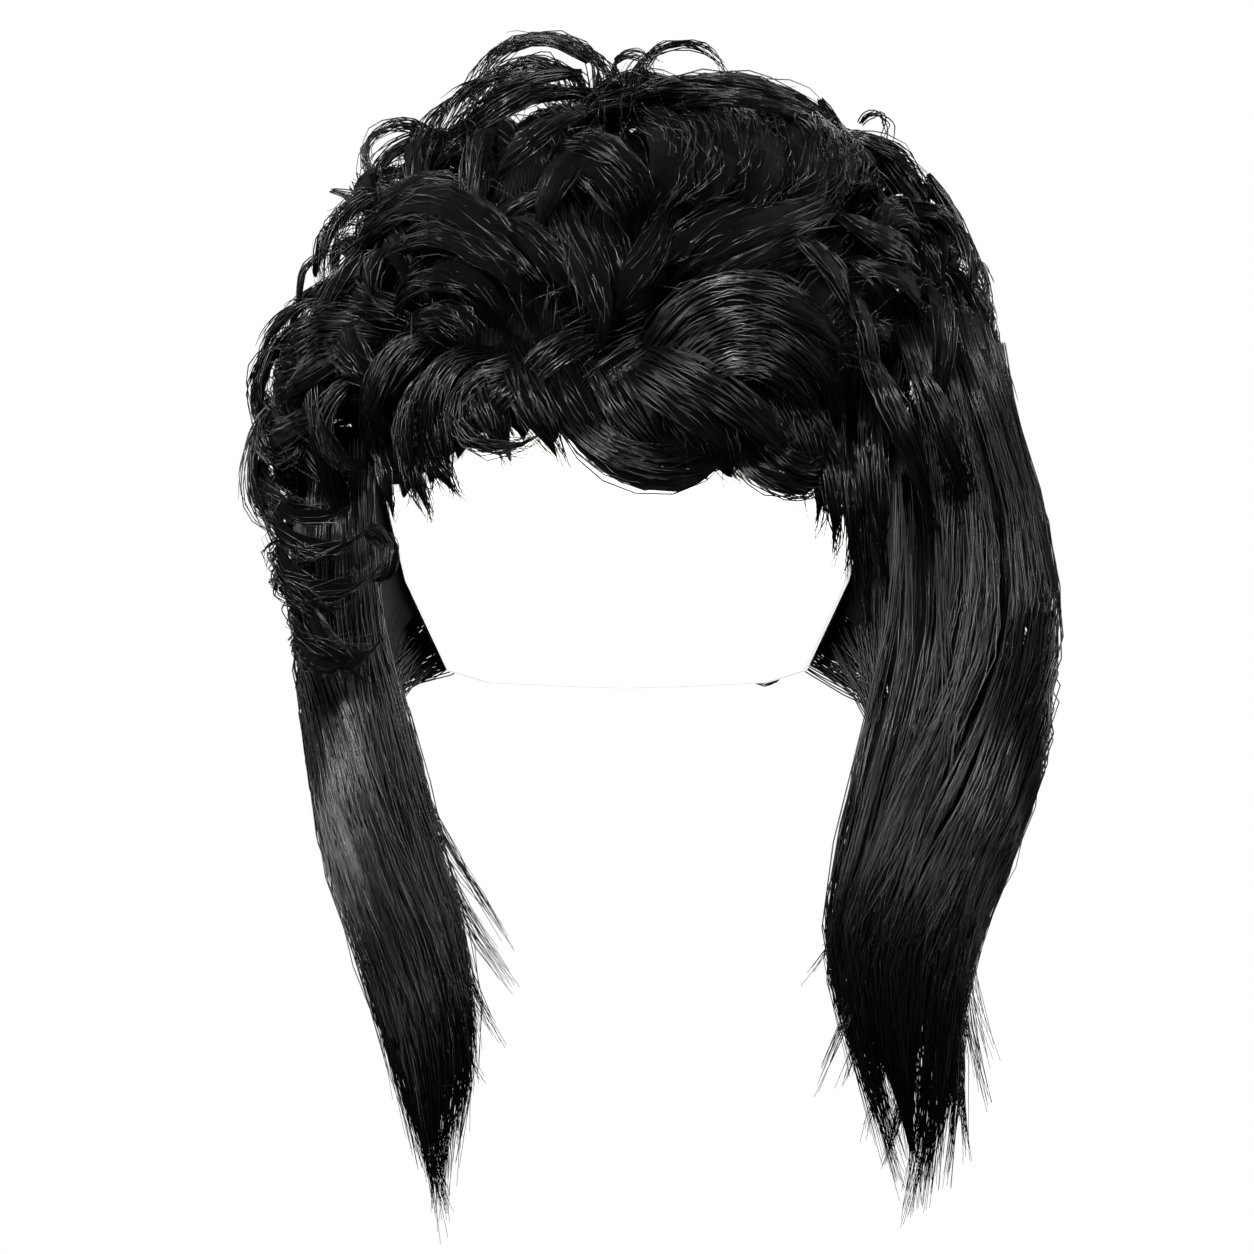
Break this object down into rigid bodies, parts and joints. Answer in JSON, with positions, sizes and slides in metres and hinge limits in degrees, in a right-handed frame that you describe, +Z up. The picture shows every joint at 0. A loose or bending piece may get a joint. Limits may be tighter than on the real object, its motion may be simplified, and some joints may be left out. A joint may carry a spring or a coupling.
{
  "type": "mullet wig",
  "caption": "Black mullet wig: tumbled curls over a pale net cap and two long straight lengths brought forward over the shoulders.",
  "frame": {"origin": "inside face of the cap at the top of the head, where the wig sits", "axes": "+Z up, the face looks along -Y, the wearer's left is +X"},
  "size_m": [0.2502, 0.2566, 0.3666],
  "materials": {
    "net": "matte pale stretch net",
    "curls": "soft shine of black synthetic hair",
    "straight_hair": "soft shine of black synthetic hair"
  },
  "bodies": {
    "root": {"cap": "net", "crown_curls": "curls", "fringe_curls": "curls", "left_side_curls": "curls", "right_side_curls": "curls", "back_curls": "curls", "left_length": "straight_hair", "right_length": "straight_hair"}
  },
  "joints": []
}
